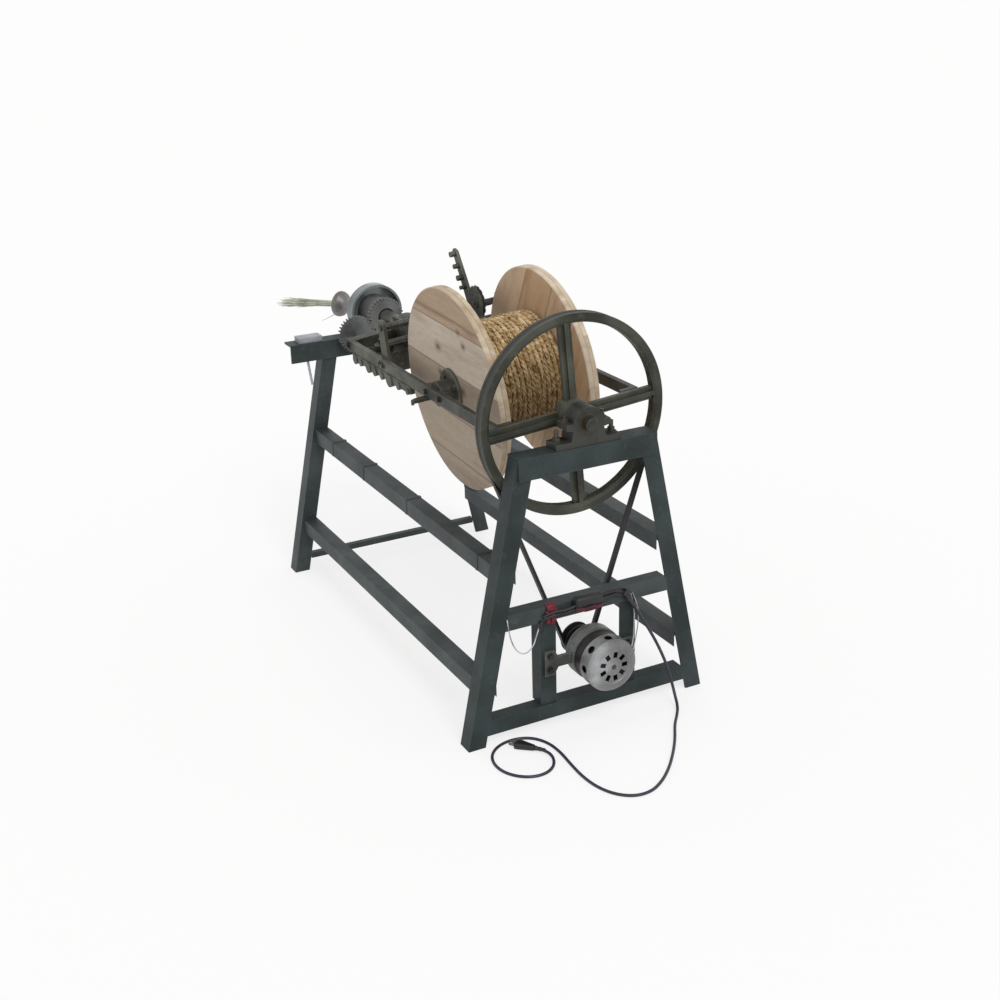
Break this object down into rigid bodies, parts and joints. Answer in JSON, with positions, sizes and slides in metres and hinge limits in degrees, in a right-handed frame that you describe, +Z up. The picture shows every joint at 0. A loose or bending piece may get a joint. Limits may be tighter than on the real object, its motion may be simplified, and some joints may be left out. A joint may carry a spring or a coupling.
{
  "type": "rope making machine",
  "caption": "Straw rope machine: a belt driven flyer turns a wooden reel in an angle iron stand, with feed horns, draw rollers and a traverse that lays the rope.",
  "frame": {"origin": "on the floor, under the middle of the machine's outer box without its mains cord", "axes": "+Z up, +Y along the main axis from the motor and belt wheel to the feed horns, +X to the right when looking along +Y"},
  "size_m": [0.616, 1.8282, 0.9589],
  "materials": {
    "frame_paint": "worn grey-green paint",
    "machine_iron": "oiled, dusty",
    "steel": "worn bright",
    "bronze": "dull",
    "motor_alloy": "cast, matt",
    "motor_core": "varnished laminations and windings",
    "reel_wood": "bare pale boards",
    "rope": "twisted straw rope",
    "straw": "loose dry straw",
    "belt_rubber": "matt",
    "cord_rubber": "smooth",
    "capacitor_case": "moulded",
    "wire": "insulated leads, ties and clip"
  },
  "bodies": {
    "stand": {"rear_leg_left": "frame_paint", "rear_leg_right": "frame_paint", "rear_top_beam": "frame_paint", "middle_cross_bar": "frame_paint", "bottom_cross_bar": "frame_paint", "motor_post_left": "frame_paint", "motor_post_right": "frame_paint", "front_leg_left": "frame_paint", "front_leg_right": "frame_paint", "front_top_beam": "frame_paint", "front_tie_bar": "frame_paint", "upper_rail_left": "frame_paint", "upper_rail_right": "frame_paint", "lower_rail_left": "frame_paint", "lower_rail_right": "frame_paint", "rear_bearing": "machine_iron", "shaft_bushes": "bronze", "stand_bolts": "steel", "head_casting": "machine_iron", "fixed_gear": "machine_iron", "horn_drive_case": "machine_iron", "motor_front_cap": "motor_alloy", "motor_rear_cap": "motor_alloy", "motor_stator": "motor_core", "drive_belt": "belt_rubber", "capacitor": "capacitor_case", "motor_wiring": "wire", "mains_cord": "cord_rubber", "mains_plug": "cord_rubber", "feed_tray": "frame_paint"},
    "flyer": {"belt_wheel": "machine_iron", "rear_shaft": "steel", "flyer_bar_left": "machine_iron", "flyer_bar_right": "machine_iron", "flyer_crosshead": "machine_iron", "hollow_spindle": "steel", "drive_gearbox": "machine_iron", "roller_plate": "machine_iron", "chain_case": "machine_iron", "reel_bearing_left": "machine_iron", "reel_bearing_right": "machine_iron", "traverse_frame": "machine_iron", "flyer_bolts": "steel"},
    "reel": {"reel_shaft": "machine_iron", "reel_core": "rope", "reel_flange_left": "reel_wood", "reel_flange_right": "reel_wood", "wound_rope": "rope"},
    "rotor": {"motor_rotor": "steel", "motor_pulley": "machine_iron"},
    "left_horn": {"horn_left": "machine_iron", "straw": "straw"},
    "right_horn": {"horn_right": "machine_iron"},
    "planet": {"planet_gear": "machine_iron"},
    "lower_roller": {"draw_roller_lower": "steel"},
    "upper_roller": {"draw_roller_upper": "steel"},
    "screw": {"traverse_screw": "steel"},
    "carriage": {"traverse_carriage": "machine_iron"},
    "sheave": {"guide_wheel": "machine_iron"},
    "hook": {"release_hook": "machine_iron"}
  },
  "joints": [
    {"name": "flyer_spin", "type": "hinge", "parent": "stand", "child": "flyer", "pos_m": [0, -0.20878, 0.709], "axis": [0, 1, 0], "continuous": true},
    {"name": "rotor_spin", "type": "hinge", "parent": "stand", "child": "rotor", "pos_m": [0.012, -0.70878, 0.166], "axis": [0, 1, 0], "continuous": true},
    {"name": "left_horn_spin", "type": "hinge", "parent": "stand", "child": "left_horn", "pos_m": [-0.022, 0.48522, 0.709], "axis": [-0.422, 0.9051, 0.0523], "continuous": true},
    {"name": "right_horn_spin", "type": "hinge", "parent": "stand", "child": "right_horn", "pos_m": [0.022, 0.48522, 0.709], "axis": [0.422, 0.9051, 0.0523], "continuous": true},
    {"name": "reel_spin", "type": "hinge", "parent": "flyer", "child": "reel", "pos_m": [0, -0.30378, 0.709], "axis": [0.9962, 0, 0.0872], "continuous": true},
    {"name": "planet_spin", "type": "hinge", "parent": "flyer", "child": "planet", "pos_m": [-0.08837, 0.29122, 0.67149], "axis": [0, 1, 0], "continuous": true},
    {"name": "lower_roller_spin", "type": "hinge", "parent": "flyer", "child": "lower_roller", "pos_m": [0.00192, 0.13622, 0.68708], "axis": [0.9962, 0, 0.0872], "continuous": true},
    {"name": "upper_roller_spin", "type": "hinge", "parent": "flyer", "child": "upper_roller", "pos_m": [-0.00192, 0.13622, 0.73092], "axis": [0.9962, 0, 0.0872], "continuous": true},
    {"name": "screw_spin", "type": "hinge", "parent": "flyer", "child": "screw", "pos_m": [-0.00793, -0.00878, 0.79965], "axis": [0.9962, 0, 0.0872], "continuous": true},
    {"name": "carriage_slide", "type": "slide", "parent": "flyer", "child": "carriage", "axis": [0.9962, 0, 0.0872], "range_m": [-0.135, 0.032]},
    {"name": "guide_wheel_spin", "type": "hinge", "parent": "carriage", "child": "sheave", "pos_m": [0.03623, -0.11878, 0.84568], "axis": [0.9962, 0, 0.0872], "continuous": true},
    {"name": "hook_swing", "type": "hinge", "parent": "flyer", "child": "hook", "pos_m": [-0.17012, -0.26278, 0.68006], "axis": [-0.0872, 0, 0.9962], "range_deg": [0, 60]}
  ],
  "couplings": [
    {"joint": "rotor_spin", "follows": "flyer_spin", "ratio": 6.6667},
    {"joint": "left_horn_spin", "follows": "flyer_spin", "ratio": -1.5},
    {"joint": "right_horn_spin", "follows": "flyer_spin", "ratio": -1.5},
    {"joint": "planet_spin", "follows": "flyer_spin", "ratio": 1},
    {"joint": "lower_roller_spin", "follows": "flyer_spin", "ratio": 0.2},
    {"joint": "upper_roller_spin", "follows": "flyer_spin", "ratio": -0.2},
    {"joint": "screw_spin", "follows": "flyer_spin", "ratio": 0.1}
  ]
}
